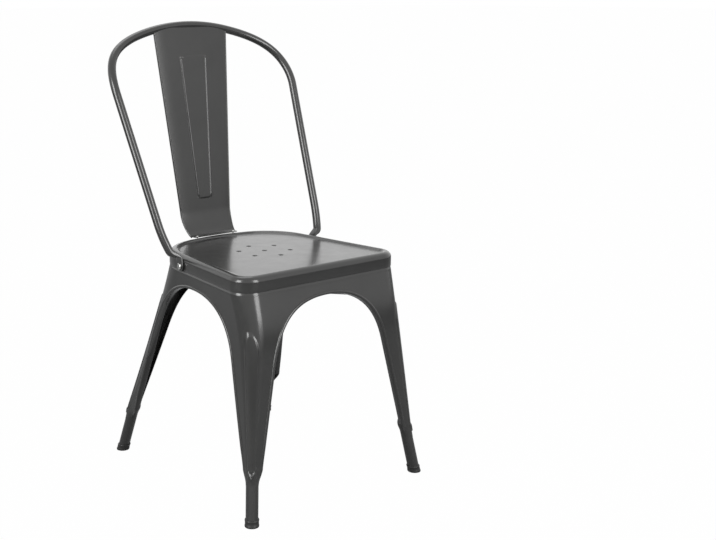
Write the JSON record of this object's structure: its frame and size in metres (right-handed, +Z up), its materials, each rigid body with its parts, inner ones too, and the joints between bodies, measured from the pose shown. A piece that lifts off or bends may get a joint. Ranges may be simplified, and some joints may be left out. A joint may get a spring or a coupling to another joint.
{
  "type": "metal bistro chair",
  "caption": "Stackable bistro side chair pressed from sheet steel: dished seat with drain holes, folded tapering legs with arched openings, bent tube back and a flared sheet splat.",
  "frame": {"origin": "on the floor, at the middle of the chair's width and depth", "axes": "+Z up, +X across the chair, -Y towards the front edge of the seat"},
  "size_m": [0.4382, 0.4809, 0.85],
  "materials": {
    "painted_steel": "semi-gloss gunmetal paint",
    "plated_steel": "bright plated",
    "black_plastic": "satin moulded",
    "black_rubber": "matte"
  },
  "bodies": {
    "root": {"seat_pan": "painted_steel", "leg_front_left": "painted_steel", "leg_front_right": "painted_steel", "leg_rear_left": "painted_steel", "leg_rear_right": "painted_steel", "back_hoop": "painted_steel", "back_splat": "painted_steel", "splat_rivets": "painted_steel", "brace_lower": "painted_steel", "brace_upper": "painted_steel", "brace_rivet": "painted_steel", "hoop_bolt_left": "plated_steel", "hoop_bolt_right": "plated_steel", "hoop_nut_left": "plated_steel", "hoop_nut_right": "plated_steel", "foot_cap_front_left": "black_plastic", "foot_cap_front_right": "black_plastic", "foot_cap_rear_left": "black_plastic", "foot_cap_rear_right": "black_plastic", "stacking_bumper": "black_rubber"}
  },
  "joints": []
}
